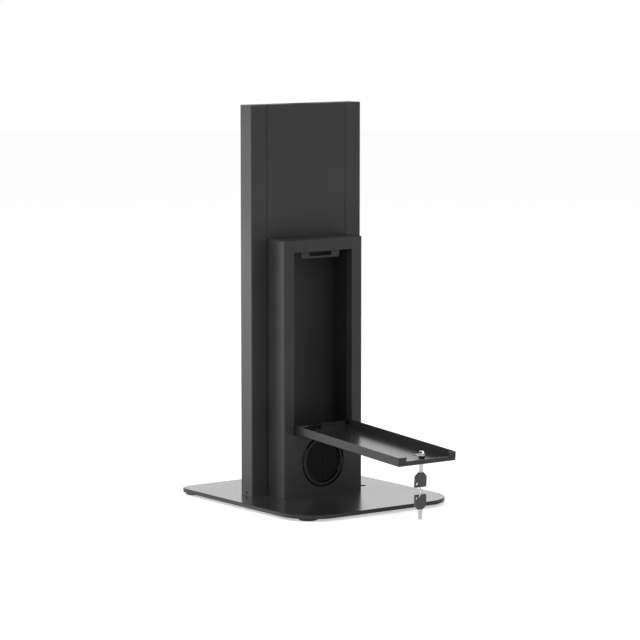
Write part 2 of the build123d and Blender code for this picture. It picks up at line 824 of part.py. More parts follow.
def spigot_bar(z_low, z_high, gap):
    half = spigot_width / 2 + gap
    return block((-half, half), (-half, half), (z_low, z_high))


def lock_plug():
    """Turning core: keyway from the face, square spigot for the cam at the far end."""
    shoulder = plug_length - plug_face
    plug = bar(plug_diameter / 2, (0, 0, -plug_face), (0, 0, shoulder))
    plug = chamfer(plug.edges().sort_by(Axis.Z)[0], keyway_gap)
    plug += spigot_bar(shoulder, shoulder + spigot_length, 0)
    half_width = blade_width / 2 + keyway_gap
    half_thick = key_thickness / 2 + keyway_gap
    slot_end = blade_length - plug_face + keyway_gap
    plug -= block((-half_width, half_width), (-half_thick, half_thick), (-plug_face - overrun, slot_end))
    cam_top = shoulder + cam_thickness
    low = cam_top - cam_screw_bite - keyway_gap
    return plug - bar(cam_screw_diameter / 2 + thread_gap, (0, 0, low), (0, 0, cam_top))


def lock_cam():
    """Flat hook: hub on the square spigot and a tongue with a rounded end."""
    low = plug_length - plug_face
    high = low + cam_thickness
    hub = bar(cam_hub / 2, (0, 0, low), (0, 0, high))
    end = cam_width / 2
    tongue = block((0, cam_reach), (-end, end), (low, high))
    tips = tongue.edges().filter_by(Axis.Z).sort_by(Axis.X)[-2:]
    tongue = fillet(tips, end / 2)
    return hub + tongue - spigot_bar(low - overrun, high + overrun, thread_gap)


def cam_screw():
    """Flanged hexagon screw that holds the cam on the plug."""
    seat = plug_length - plug_face + cam_thickness
    flange_top = seat + cam_screw_flange_height
    screw = bar(cam_screw_diameter / 2, (0, 0, seat - cam_screw_bite), (0, 0, seat))
    screw += bar(cam_screw_flange / 2, (0, 0, seat), (0, 0, flange_top), cam_screw_head / 2)
    head = hexagon_bar(cam_screw_head, flange_top, flange_top + cam_screw_head_height)
    head_top = flange_top + cam_screw_head_height
    foot_radius = cam_screw_head / 2 + cam_screw_head_height
    cone = bar(foot_radius, (0, 0, flange_top), (0, 0, head_top), cam_screw_head / 2)
    return screw + (head & cone)


# Keys. Their own frame has the blade's tip at the origin and the head towards -Z.

key_shoulder = -(blade_length + neck_length)
key_end = key_shoulder - head_length
hole_z = key_end + ring_band + ring_hole / 2
band_z = key_end + ring_band / 2


def key_blade():
    """Grooved blade, wider neck, and the tang inside the head."""
    half_thick = key_thickness / 2
    y = (-half_thick, half_thick)
    half = blade_width / 2
    neck = neck_width / 2
    tang = key_shoulder - tang_length
    outline = [
        (-half + blade_tip, 0), (half - blade_tip, 0), (half, -blade_tip), (half, -blade_length),
        (neck, -blade_length), (neck, tang), (-neck, tang), (-neck, -blade_length),
        (-half, -blade_length), (-half, -blade_tip),
    ]
    face = make_face(Polyline(*outline, close=True).edges())
    blade = Pos(0, y[1], 0) * extrude(Plane.XZ * face, amount=key_thickness, dir=(0, -1, 0))
    for way in (-1, 1):
        middle = way * groove_offset_share * blade_width
        x = (middle - groove_width / 2, middle + groove_width / 2)
        depth = sorted((way * (half_thick - groove_depth), way * (half_thick + overrun)))
        blade -= block(x, depth, (key_shoulder, overrun))
    return blade


def key_head():
    """Moulded bow with sloped shoulders and a rounded hole for the ring."""
    half, top_half = head_width / 2, head_top_width / 2
    shoulder = key_shoulder - head_shoulder
    points = [
        (-top_half, key_shoulder), (top_half, key_shoulder), (half, shoulder), (half, key_end),
        (-half, key_end), (-half, shoulder),
    ]
    radii = [head_edge_break, head_edge_break, head_edge_break, head_round, head_round, head_edge_break]
    face = rounded_outline(points, radii)
    head = extrude(Plane.XZ * face, amount=head_thickness, dir=(0, -1, 0))
    head = Pos(0, head_thickness / 2, 0) * head
    rims = [edge for edge in head.edges() if abs(abs(edge.center().Y) - head_thickness / 2) < same_place]
    head = fillet(rims, head_edge_break)
    head -= bar(ring_hole / 2, (ring_hole_side, -overrun, hole_z), (ring_hole_side, overrun, hole_z))
    rims = [
        edge for edge in head.edges().filter_by(GeomType.CIRCLE)
        if abs(edge.arc_center.X - ring_hole_side) < same_place
        and abs(edge.radius - ring_hole / 2) < same_place
    ]
    head = fillet(rims, ring_hole_rim)
    neck = neck_width / 2
    half_thick = key_thickness / 2
    return head - block(
        (-neck, neck), (-half_thick, half_thick), (key_shoulder - tang_length, key_shoulder + overrun)
    )


def place_key(shape):
    """The first key, its tip in the keyway, hanging under the open door."""
    return place_lock(Pos(0, 0, -plug_face + key_inserted) * shape)


def band_point():
    """Middle of the first key's band, where the ring hangs."""
    lock = Vector(0, lock_reach, door_face - plug_face + key_inserted + band_z)
    y = hinge_y + lock.Y * cos(droop) + lock.Z * sin(droop)
    z = hinge_z - lock.Y * sin(droop) + lock.Z * cos(droop)
    return Vector(ring_hole_side, y, z)


def ring_centre():
    inner = ring_diameter / 2 - ring_thickness
    return band_point() - Vector(0, 0, inner - ring_band / 2 - ring_gap)


def spare_band_point():
    centre = ring_centre()
    return centre + (centre - band_point())


def key_ring():
    """Flat split ring, hanging plumb in the plane across the keys."""
    outer, inner = ring_diameter / 2, ring_diameter / 2 - ring_thickness
    face = Plane.XZ * (Pos((outer + inner) / 2, 0) * RectangleRounded(ring_thickness, ring_width, ring_round))
    ring = revolve(face, Axis.Z)
    centre = ring_centre()
    return Pos(centre.X, centre.Y, centre.Z) * Rot(0, 90, 0) * ring


def place_spare(shape):
    """The spare key, upside down, hanging on the ring."""
    band = spare_band_point()
    return Pos(0, band.Y, band.Z + band_z) * Rot(180, 0, 0) * shape


def export_all():
    pieces = {"base_plate": base_plate()}
    for name, x, y in foot_places():
        pieces[name] = foot(x, y)
    pieces["foot_screws"] = Compound([foot_screw(x, y).solid() for _, x, y in foot_places()])
    pieces["foot_plate"] = foot_plate()
    bolt_tip = base_top + base_bolt_bite
    pieces["base_bolts"] = Compound([
        countersunk_screw(x, y, foot_height, bolt_tip, base_bolt_diameter, base_bolt_head).solid()
        for x, y in base_bolt_places()
    ])
    pieces["column_shell"] = column_shell()
    pieces["side_screws"] = Compound([side_screw(way).solid() for way in (-1, 1)])
    pieces["head_plate"] = head_plate()
    pieces["rear_cover"] = rear_cover()
    pieces["box_shell"] = box_shell()
    screw_tip = base_top + box_sheet + floor_nut_height
    pieces["floor_screws"] = Compound([
        countersunk_screw(x, y, foot_height, screw_tip, floor_screw_diameter, floor_screw_head).solid()
        for x, y in floor_screw_places()
    ])
    pieces["floor_nuts"] = Compound([floor_nut(x, y).solid() for x, y in floor_screw_places()])
    pieces["keeper"] = keeper()
    pieces["keeper_rivets"] = Compound([keeper_rivet(way).solid() for way in (-1, 1)])
    pieces["grommet_ring"] = grommet_ring()
    pieces["grommet_flap_left"] = grommet_flap(1)
    pieces["grommet_flap_right"] = grommet_flap(-1)
    pieces["door_panel"] = place_door(door_panel())
    pieces["pivot_stud"] = place_door(pivot_stud())
    pieces["hinge_pin"] = place_door(hinge_pin())
    pieces["pin_bracket"] = place_door(pin_bracket())
    pieces["pin_spring"] = place_door(pin_spring())
    pieces["lock_body"] = place_lock(lock_body())
    pieces["lock_nut"] = place_lock(lock_nut())
    pieces["lock_plug"] = place_lock(lock_plug())
    pieces["lock_cam"] = place_lock(lock_cam())
    pieces["cam_screw"] = place_lock(cam_screw())
    pieces["key_blade"] = place_key(key_blade())
    pieces["key_head"] = place_key(key_head())
    pieces["key_ring"] = key_ring()
    pieces["spare_blade"] = place_spare(key_blade())
    pieces["spare_head"] = place_spare(key_head())
    for name, piece in pieces.items():
        export_step(piece, f"parts/{name}.step")
    print(f"hinge axis y {hinge_y:.3f} z {hinge_z:.3f}")
    for name, point in (("band", band_point()), ("spare band", spare_band_point())):
        print(f"{name} x {point.X:.3f} y {point.Y:.3f} z {point.Z:.3f}")


export_all()
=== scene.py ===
# %% [markdown]
# # A tablet kiosk stand with a lockable box
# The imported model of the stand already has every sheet, screw and pin in its real place, in metres.
# This lesson loads it, gives each surface the finish that the real one has, and makes in mesh code
# the few pieces that need more shape: the grommet and its rubber flaps, the sliding hinge pin and
# its spring, and the key ring.

# %% Load the model
import json
from math import cos, radians, sin, tau

import bmesh
import bpy
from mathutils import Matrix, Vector


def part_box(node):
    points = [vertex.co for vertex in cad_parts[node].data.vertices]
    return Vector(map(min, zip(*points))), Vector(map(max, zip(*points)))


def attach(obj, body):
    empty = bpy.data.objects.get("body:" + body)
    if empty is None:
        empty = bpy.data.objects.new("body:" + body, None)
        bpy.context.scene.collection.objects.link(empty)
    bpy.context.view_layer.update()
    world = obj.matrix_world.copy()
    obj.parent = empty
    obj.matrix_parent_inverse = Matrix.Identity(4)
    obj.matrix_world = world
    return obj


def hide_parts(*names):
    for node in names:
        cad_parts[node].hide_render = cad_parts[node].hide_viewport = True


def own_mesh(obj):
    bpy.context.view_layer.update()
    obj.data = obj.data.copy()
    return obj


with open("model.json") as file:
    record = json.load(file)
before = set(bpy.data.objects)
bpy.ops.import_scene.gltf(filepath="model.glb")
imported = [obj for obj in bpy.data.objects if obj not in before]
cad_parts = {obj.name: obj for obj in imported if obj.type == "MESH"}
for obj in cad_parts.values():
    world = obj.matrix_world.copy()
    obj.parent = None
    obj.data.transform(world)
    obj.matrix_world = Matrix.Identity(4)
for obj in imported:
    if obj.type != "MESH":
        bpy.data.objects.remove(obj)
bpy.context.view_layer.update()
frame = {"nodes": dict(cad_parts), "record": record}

# %% [markdown]
# ## The camera
# The stand is seen from its box side with a long lens, from a little above the middle. The numbers
# come from fitting the base plate, the column and the box to where their corners show.

# %% Camera
camera_data = bpy.data.cameras.new("camera")
camera_data.lens = 170.93
camera_data.sensor_width = 36.0
camera_data.clip_end = 60.0
camera = bpy.data.objects.new("camera", camera_data)
camera.location = (3.7107, 5.0633, 1.1190)
camera.rotation_euler = (radians(83.258), 0.0, radians(143.707))
bpy.context.scene.collection.objects.link(camera)
bpy.context.scene.camera = camera
bpy.context.scene.view_settings.view_transform = "Standard"
print("lens", camera_data.lens, "mm")

# %% [markdown]
# ## Shader maths as Python
# A finish is a small net of nodes. Wrapping a socket in a class lets the maths between two sockets
# be written as an expression, and one method makes every other node with its settings and values.
# The same net serves the sky, which has nodes of its own.

# %% Helpers for finishes
class Wire:
    """The output of a node, with the operators that the finishes use."""

    def __init__(self, net, socket):
        self.net = net
        self.socket = socket

    def maths(self, operation, first, second):
        return self.net.node("ShaderNodeMath", {"operation": operation}, {0: first, 1: second})

    def __add__(self, other):
        return self.maths("ADD", self, other)

    def __sub__(self, other):
        return self.maths("SUBTRACT", self, other)

    def __rsub__(self, other):
        return self.maths("SUBTRACT", other, self)

    def __mul__(self, other):
        return self.maths("MULTIPLY", self, other)

    __radd__ = __add__
    __rmul__ = __mul__


class Net:
    """The nodes of a material or a world, added one by one."""

    def __init__(self, owner):
        owner.use_nodes = True
        self.tree = owner.node_tree
        self.tree.nodes.clear()

    def node(self, kind, settings=None, inputs=None, output=0):
        """Add a node: settings first, then a value or a wire for each input."""
        made = self.tree.nodes.new(kind)
        for name, value in (settings or {}).items():
            setattr(made, name, value)
        for name, value in (inputs or {}).items():
            socket = made.inputs[name]
            if isinstance(value, Wire):
                self.tree.links.new(value.socket, socket)
            else:
                socket.default_value = value
        return Wire(self, made.outputs[output]) if made.outputs else None

    def between(self, wire, low, high, to_low=0.0, to_high=1.0):
        """Move the range from low to high on to another range, and hold its ends."""
        inputs = {"Value": wire, 1: low, 2: high, 3: to_low, 4: to_high}
        return self.node("ShaderNodeMapRange", None, inputs)

    def rays(self, kind):
        """1 for the rays of one kind and 0 for the others."""
        return self.node("ShaderNodeLightPath", output=f"Is {kind} Ray")


class Finish(Net):
    """A material, with the patterns that the finishes are made of."""

    def __init__(self, name):
        self.material = bpy.data.materials.new(name)
        super().__init__(self.material)

    def noise(self, per_metre, detail, stretch=(1.0, 1.0, 1.0)):
        """Soft random pattern, so many patches per metre."""
        place = self.node("ShaderNodeTexCoord", output="Object")
        spot = self.node("ShaderNodeMapping", None, {"Vector": place, "Scale": stretch})
        inputs = {"Vector": spot, "Scale": per_metre, "Detail": detail}
        return self.node("ShaderNodeTexNoise", None, inputs)

    def tint(self, mask, dark, light):
        """Colour that runs from dark to light as the mask goes from 0 to 1."""
        settings = {"data_type": "RGBA"}
        inputs = {0: mask, 6: (*dark, 1.0), 7: (*light, 1.0)}
        return self.node("ShaderNodeMix", settings, inputs, 2)

    def bump(self, height, distance):
        return self.node("ShaderNodeBump", None, {"Height": height, "Distance": distance})

    def close(self, **inputs):
        """Add the surface shader and the output. Input names have _ for a space."""
        named = {name.replace("_", " "): value for name, value in inputs.items()}
        surface = self.node("ShaderNodeBsdfPrincipled", None, named)
        self.node("ShaderNodeOutputMaterial", None, {"Surface": surface})
        return self.material


def grey(level, warmth=0.0):
    """A near-neutral colour in linear light."""
    return (level * (1.0 + warmth), level, level * (1.0 - warmth))


print("helpers ready")

# %% [markdown]
# ## Powder coat
# The sheet metal is sprayed with dry powder and baked. Up close the skin isn't flat: it has a very
# fine orange peel, a millimetre or so from crest to crest and a few hundredths deep. Its gloss
# varies a little in broad patches where hands and cloths have been. Paint that is sprayed on a flat
# lying sheet flows out best, so the upper faces of the base plate and of the open door are glossier:
# there a clear coat lies over the same paint, told apart by the way that the surface faces.

# %% Powder coat finishes
MM = 0.001  # the scene is in metres
paint_warmth = -0.012  # below 0, so the black is a touch blue
darkest, lightest = 0.9, 1.1  # how far the patches depart from the paint's own level
flowed_gloss = 0.24  # how much smoother the paint is where it has flowed out
faces_up = (0.9, 0.99)  # the upward part of a face's direction, from none to all of the clear coat


def powder_coat(name, level, roughness, peel, flowed=False, **extra):
    """Dark paint with orange peel, a fine grain and uneven gloss, and flowed out on top if asked."""
    finish = Finish(name)
    broad = finish.noise(per_metre=9.0, detail=3.0)
    skin = finish.noise(per_metre=900.0, detail=2.0)
    grain = finish.noise(per_metre=3600.0, detail=1.0)
    dark, light = (grey(level * share, paint_warmth) for share in (darkest, lightest))
    colour = finish.tint(finish.between(broad, 0.38, 0.64), dark, light)
    gloss = finish.between(broad + grain * 0.25, 0.45, 0.8, roughness - 0.02, roughness + 0.03)
    height = skin * 0.8 + grain * 0.2
    if flowed:
        facing = finish.node("ShaderNodeTexCoord", output="Normal")
        upward = finish.node("ShaderNodeSeparateXYZ", None, {"Vector": facing}, "Z")
        on_top = finish.between(upward, *faces_up)
        gloss = gloss - on_top * flowed_gloss
        extra["Coat_Weight"] = on_top
    return finish.close(
        Base_Color=colour, Roughness=gloss, Normal=finish.bump(height, peel),
        Specular_IOR_Level=0.25, **extra,
    )


coat = powder_coat("powder_coat", level=0.03, roughness=0.45, peel=0.03 * MM)
flowed_coat = powder_coat(
    "flowed_coat", level=0.024, roughness=0.45, peel=0.003 * MM, flowed=True,
    Coat_Roughness=0.25, Coat_IOR=2.1,
)
print("coats", coat.name, flowed_coat.name)

# %% [markdown]
# ## Rubber and plastic
# Feet and flaps are moulded rubber, matt and a little dusty. The grommet is hard plastic with a
# fine spark-eroded grain, and so are the key heads, which are a lighter grey. The knob of the hinge
# pin is the same kind of plastic in black.

# %% Moulded finishes
def moulded(name, level, roughness, grain_size, grain_depth, dust=0.0, shine=0.5):
    """Rubber or plastic with the fine grain of its mould and some dust."""
    finish = Finish(name)
    pits = finish.noise(per_metre=1.0 / grain_size, detail=3.0)
    broad = finish.noise(per_metre=30.0, detail=4.0)
    worn = finish.between(broad, 0.4, 0.7)
    colour = finish.tint(worn, grey(level), grey(level * 1.25 + dust))
    gloss = finish.between(worn + pits * 0.3, 0.1, 1.2, roughness - 0.05, roughness + 0.07)
    return finish.close(
        Base_Color=colour, Roughness=gloss, Normal=finish.bump(pits, grain_depth),
        Specular_IOR_Level=shine,
    )


foot_rubber = moulded(
    "foot_rubber", level=0.027, roughness=0.62, grain_size=0.9 * MM, grain_depth=0.05 * MM,
    dust=0.004, shine=0.3,
)
flap_rubber = moulded(
    "flap_rubber", level=0.0025, roughness=0.4, grain_size=0.7 * MM, grain_depth=0.02 * MM,
    dust=0.001, shine=0.08,
)
grommet_plastic = moulded(
    "grommet_plastic", level=0.0008, roughness=0.12, grain_size=0.5 * MM, grain_depth=0.003 * MM,
    shine=0.16,
)
knob_plastic = moulded(
    "knob_plastic", level=0.006, roughness=0.36, grain_size=0.4 * MM, grain_depth=0.01 * MM,
    shine=0.3,
)
key_plastic = moulded(
    "key_plastic", level=0.027, roughness=0.42, grain_size=0.4 * MM, grain_depth=0.02 * MM,
    dust=0.002,
)
print("rubber", foot_rubber.name, flap_rubber.name)
print("plastic", grommet_plastic.name, knob_plastic.name, key_plastic.name)

# %% [markdown]
# ## Bare metal
# Turned pins and screws keep faint rings and scratches from the tool, so their roughness and bump
# come from a noise that is stretched along one way. The lock is chrome plated, almost a mirror. The
# pivot and the screws in the column's side are blackened.

# %% Metal finishes
no_stretch = (1.0, 1.0, 1.0)
marks_along_x = (0.06, 1.0, 1.0)
long_marks_along_x = (0.05, 1.0, 1.0)
marks_along_z = (1.0, 1.0, 0.08)


def metal(name, colour, roughness, scratch_depth, stretch=no_stretch):
    """Plated or brushed metal with fine scratches and slightly uneven shine."""
    finish = Finish(name)
    scratches = finish.noise(per_metre=2500.0, detail=3.0, stretch=stretch)
    broad = finish.noise(per_metre=60.0, detail=2.0)
    dull = tuple(0.86 * part for part in colour)
    shade = finish.tint(finish.between(broad, 0.35, 0.65), dull, colour)
    shine = finish.between(scratches + broad * 0.5, 0.4, 1.1, roughness - 0.04, roughness + 0.08)
    return finish.close(
        Base_Color=shade, Metallic=1.0, Roughness=shine, Normal=finish.bump(scratches, scratch_depth)
    )


zinc = metal("zinc_steel", (0.56, 0.56, 0.57), 0.3, 0.01 * MM, marks_along_x)
plate_steel = metal("plate_steel", (0.3, 0.3, 0.3), 0.45, 0.02 * MM, long_marks_along_x)
spring_steel = metal("spring_steel", (0.03, 0.03, 0.031), 0.34, 0.01 * MM)
lock_chrome = metal("lock_chrome", (0.8, 0.8, 0.81), 0.08, 0.003 * MM)
key_steel = metal("key_steel", (0.5, 0.5, 0.5), 0.2, 0.01 * MM, marks_along_z)
pin_zinc = metal("pin_dark_zinc", (0.12, 0.12, 0.123), 0.3, 0.01 * MM, marks_along_x)
stud_black = metal("stud_black_oxide", (0.012, 0.012, 0.012), 0.4, 0.01 * MM)
screw_black = metal("screw_black_oxide", (0.002, 0.002, 0.002), 0.6, 0.01 * MM)
print("materials so far", len(bpy.data.materials))

# %% [markdown]
# ## Finishes on the model's own pieces
# The record already says which material slot each piece has. The same slots pick the finishes here.
# Four pieces are told apart: the base plate and the door, because their upper faces shine more, and
# the pivot and the column's side screws, which are blackened steel.

# %% Give every model piece its finish
finish_of_slot = {
    "powder_coat": coat, "foot_rubber": foot_rubber, "flap_rubber": flap_rubber,
    "grommet_plastic": grommet_plastic, "zinc_steel": zinc, "plate_steel": plate_steel,
    "spring_steel": spring_steel, "lock_chrome": lock_chrome, "key_steel": key_steel,
    "key_plastic": key_plastic,
}
finish_of_node = {
    "base_plate": flowed_coat, "door_panel": flowed_coat, "pivot_stud": stud_black,
    "side_screws": screw_black,
}
slot_of = {part["node"]: part["material_slot"] for part in frame["record"]["subparts"]}


def paint(thing, material):
    """Use one material on the whole of an object."""
    thing.data.materials.clear()
    thing.data.materials.append(material)


for node_name, thing in frame["nodes"].items():
    paint(thing, finish_of_node.get(node_name, finish_of_slot[slot_of[node_name]]))
print("painted", len(frame["nodes"]), "pieces")

# %% [markdown]
# ## Making pieces
# New pieces start as a small profile and are spun with bmesh. One helper turns the finished bmesh
# into an object, points its faces outwards and hands it to the body that it moves with.

# %% Helpers for pieces
MERGE_DISTANCE = 0.002 * MM
SMOOTH_ANGLE = radians(35)


def add_piece(name, shape, material, body):
    """Finish a bmesh as a piece of the object."""
    bmesh.ops.remove_doubles(shape, verts=shape.verts, dist=MERGE_DISTANCE)
    bmesh.ops.recalc_face_normals(shape, faces=shape.faces)
    mesh = bpy.data.meshes.new(name)
    shape.to_mesh(mesh)
    shape.free()
    thing = bpy.data.objects.new(name, mesh)
    bpy.context.scene.collection.objects.link(thing)
    paint(thing, material)
    mesh.shade_smooth()
    mesh.set_sharp_from_angle(angle=SMOOTH_ANGLE)
    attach(thing, body)
    print(name, "faces", len(mesh.polygons))
    return thing


def profile(shape, points, closed):
    """A chain of edges through points."""
    verts = [shape.verts.new(point) for point in points]
    pairs = list(zip(verts, verts[1:]))
    if closed:
        pairs.append((verts[-1], verts[0]))
    edges = [shape.edges.new(pair) for pair in pairs]
    return verts, edges


def arc(middle, radius, start, end, steps):
    """Points of an arc in a profile's plane, angles in degrees from the first axis."""
    angles = [radians(start + (end - start) * step / steps) for step in range(steps + 1)]
    return [(middle[0] + radius * cos(angle), middle[1] + radius * sin(angle)) for angle in angles]


def turned(shape, points, centre, axis, steps, closed=True):
    """Spin a profile right round an axis through centre."""
    verts, edges = profile(shape, points, closed)
    bmesh.ops.spin(
        shape, geom=[*verts, *edges], cent=centre, axis=axis, angle=tau, steps=steps, use_merge=True,
    )


print("points within", MERGE_DISTANCE / MM, "mm are merged")

# %% [markdown]
# ## Cable grommet
# The grommet is a turned form on an axis across the box front. Its profile is drawn as radius and
# height above the sheet, and spun once round. The outer bead stands proud, a groove follows, then
# the inner bead, and the wall drops into the hole where the rubber sits. The groove is drawn deeper
# than the face of the sheet, so the sheet shows as its floor.

# %% Grommet sizes in millimetres
grommet_low, grommet_high = (Vector(corner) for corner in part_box("grommet_ring"))
ring_radius = (grommet_high.z - grommet_low.z) / 2 / MM
bead_round = 2.6  # of the outer bead, which stands as far out of the sheet
bead_foot_radius, bead_foot_depth = 47.9, 1.4  # where the bead's inner flank ends
groove_outer, groove_inner, groove_depth = 46.5, 46.0, 2.2
inner_bead_radius, inner_bead_depth, inner_bead_round = 44.6, 2.0, 1.2
bore_radius, bore_break = 43.0, 0.2
barrel_radius, barrel_depth = 45.5, 9.0
lip_radius, lip_top, lip_foot = 49.5, 2.0, 4.0  # the lip that grips behind the sheet
seat_radius, seat_gap = 50.5, 0.02  # the flat under the outer bead

grommet_middle = (grommet_low + grommet_high) / 2
front_y = grommet_high.y - bead_round * MM
grommet_centre = Vector((grommet_middle.x, front_y, grommet_middle.z))
print("grommet centre", tuple(round(part, 5) for part in grommet_centre))

# %% Grommet ring
def turned_on_y(shape, outline, steps):
    """Spin a profile of radii and heights round the grommet's axis."""
    points = [
        (grommet_centre.x + radius * MM, front_y + height * MM, grommet_centre.z)
        for radius, height in outline
    ]
    turned(shape, points, grommet_centre, (0.0, 1.0, 0.0), steps)


ring_outline = [
    (ring_radius, seat_gap),
    *arc((ring_radius - bead_round, 0.0), bead_round, start=10, end=120, steps=11),
    (bead_foot_radius, -bead_foot_depth),
    (groove_outer, -groove_depth),
    (groove_inner, -groove_depth),
    *arc((inner_bead_radius, -inner_bead_depth), inner_bead_round, start=25, end=150, steps=8),
    (bore_radius + bore_break, -groove_depth),
    (bore_radius, -groove_depth - 2 * bore_break),
    (bore_radius, bore_break - barrel_depth),
    (barrel_radius, -barrel_depth),
    (barrel_radius, -lip_foot),
    (lip_radius, -lip_top),
    (seat_radius, seat_gap),
]
ring_shape = bmesh.new()
turned_on_y(ring_shape, ring_outline, steps=96)
ring = add_piece("grommet_ring_turned", ring_shape, grommet_plastic, "stand")
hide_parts("grommet_ring")

# %% [markdown]
# ## Rubber flaps
# The rubber disc is dished: its border rolls down from the ring to a flat middle, and one upright
# slit lets a cable through. Each half comes from a whole turn of the same profile, cut off beside
# the slit and closed there.

# %% Grommet flaps
rubber = 1.8  # how thick the disc is, in millimetres
flat_depth, border_depth = 4.6, 3.8
flap_radius = bore_radius - 0.1
roll_from, roll_to = (38.6, -flat_depth), (flap_radius, -border_depth)
roll_between = ((39.4, -4.5), (40.2, -4.2), (41.2, -3.9))
back_radius = 38.0
half_slit = 0.4

flap_outline = [
    (0.0, -flat_depth),
    roll_from,
    *roll_between,
    roll_to,
    (flap_radius, -border_depth - rubber),
    (back_radius, -flat_depth - rubber),
    (0.0, -flat_depth - rubber),
]
for side, way in (("left", 1), ("right", -1)):
    flap_shape = bmesh.new()
    turned_on_y(flap_shape, flap_outline, steps=64)
    geometry = [*flap_shape.verts, *flap_shape.edges, *flap_shape.faces]
    cut_at = grommet_centre + Vector((way * half_slit * MM, 0.0, 0.0))
    cut = bmesh.ops.bisect_plane(
        flap_shape, geom=geometry, dist=0.001 * MM, plane_co=cut_at, plane_no=(-way, 0.0, 0.0),
        clear_outer=True,
    )
    rim = [item for item in cut["geom_cut"] if isinstance(item, bmesh.types.BMEdge)]
    bmesh.ops.edgenet_fill(flap_shape, edges=rim)
    flap = add_piece(f"flap_{side}", flap_shape, flap_rubber, "stand")
    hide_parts(f"grommet_flap_{side}")

# %% [markdown]
# ## Sliding hinge pin
# The pin is a turned rod with a plain end in the box's lip and a thin tail inside the spring. Its
# finger knob is pressed on: moulded black plastic with ribs along it, so that it doesn't slip. The
# rod is one spun profile. The knob is spun too, with every third column of its skin pulled in.

# %% Hinge pin
x_axis = (1.0, 0.0, 0.0)
pin_low, pin_high = (Vector(corner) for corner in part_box("hinge_pin"))
pin_axis = Vector((0.0, (pin_low.y + pin_high.y) / 2, (pin_low.z + pin_high.z) / 2))
pin_start, pin_end = pin_low.x / MM, pin_high.x / MM
tail_radius, tail_break = 1.6, 0.3
rod_radius, rod_break = 2.3, 0.8
knob_from = 22.0  # the knob's inner end, where the rod steps down to its tail


def turned_on_x(shape, outline, steps, closed):
    """Spin a profile of places along X and radii round the pin's axis."""
    points = [(place * MM, pin_axis.y, pin_axis.z + radius * MM) for place, radius in outline]
    turned(shape, points, pin_axis, x_axis, steps, closed)


rod_outline = [
    (pin_start, 0.0),
    (pin_start, tail_radius - tail_break),
    (pin_start + tail_break, tail_radius),
    (knob_from, tail_radius),
    (knob_from, rod_radius),
    (pin_end - rod_break, rod_radius),
    (pin_end, rod_radius - rod_break),
    (pin_end, 0.0),
]
rod_shape = bmesh.new()
turned_on_x(rod_shape, rod_outline, steps=40, closed=False)
rod = add_piece("pin_rod", rod_shape, pin_zinc, "hinge_pin")

# %% Ribbed knob
knob_to, knob_radius, knob_bore = 30.0, 4.4, rod_radius + 0.05
round_start, round_middle = 1.2, 0.35  # how far inside the sharp corner a round's points lie
knob_columns, columns_a_rib, rib_depth = 48, 3, 0.45

knob_outline = [
    (knob_from, knob_bore),
    (knob_from, knob_radius - round_start),
    (knob_from + round_middle, knob_radius - round_middle),
    (knob_from + round_start, knob_radius),
    (knob_to - round_start, knob_radius),
    (knob_to - round_middle, knob_radius - round_middle),
    (knob_to, knob_radius - round_start),
    (knob_to, knob_bore),
]
knob_shape = bmesh.new()
turned_on_x(knob_shape, knob_outline, steps=knob_columns, closed=True)
bmesh.ops.remove_doubles(knob_shape, verts=knob_shape.verts, dist=MERGE_DISTANCE)
ribbed_radius = (knob_radius - 2 * round_middle) * MM
for vert in knob_shape.verts:
    out = Vector((0.0, vert.co.y - pin_axis.y, vert.co.z - pin_axis.z))
    column = round(out.angle(Vector((0.0, 0.0, 1.0))) / tau * knob_columns)
    if out.length > ribbed_radius and column % columns_a_rib == 0:
        vert.co -= out.normalized() * rib_depth * MM
knob = add_piece("pin_knob", knob_shape, knob_plastic, "hinge_pin")
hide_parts("hinge_pin")
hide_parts("hinge_pin")

# %% [markdown]
# ## Wound pieces
# A spin whose every step also moves along the axis winds a helix. The spring behind the hinge pin's
# knob is eight turns of round wire, and the key ring is two turns of flat wire.

# %% Coils
def wound(shape, section, centre, turns, pitch, steps_a_turn):
    """Wind a closed section into a coil along X, with a face on each end."""
    verts, edges = profile(shape, section, closed=True)
    first = bmesh.ops.contextual_create(shape, geom=verts)["faces"]
    climb = Vector(x_axis) * (pitch / steps_a_turn)
    bmesh.ops.spin(
        shape, geom=[*verts, *edges, *first], cent=centre, axis=x_axis, dvec=climb,
        angle=tau * turns, steps=turns * steps_a_turn, use_duplicate=False,
    )


print("coil helper ready")

# %% [markdown]
# ## Spring of the hinge pin
# When the finger pulls the knob, the spring between the knob and the bracket's ear shortens.
# Here the piece is wound at its full length, moves with the door and gets a mesh of its own.

# %% Pin spring
spring_low, spring_high = (Vector(corner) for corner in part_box("pin_spring"))
spring_middle = (spring_low + spring_high) / 2
spring_length = spring_high.x - spring_low.x
spring_turns = 8
wire_radius = 0.45 * MM
wire_points = 10
coil_radius = 2.85 * MM
spring_pitch = (spring_length - 2 * wire_radius) / spring_turns

spring_start = Vector((spring_low.x + wire_radius, spring_middle.y, spring_middle.z))
spring_angles = [tau * step / wire_points for step in range(wire_points)]
spring_section = [
    spring_start + Vector((wire_radius * sin(angle), 0.0, coil_radius + wire_radius * cos(angle)))
    for angle in spring_angles
]
spring_shape = bmesh.new()
wound(spring_shape, spring_section, spring_start, spring_turns, spring_pitch, steps_a_turn=28)
spring = add_piece("pin_spring_coil", spring_shape, spring_steel, "door")
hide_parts("pin_spring")
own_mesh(spring)
print("spring", round(spring_length / MM, 2), "mm long, pitch", round(spring_pitch / MM, 2))

# %% [markdown]
# ## Key ring
# A split ring is flat wire wound twice, so that a key can be worked on between the turns. The turns
# lie side by side and touch. The ring hangs in the head of the key in the lock, and the spare key
# hangs in the ring.

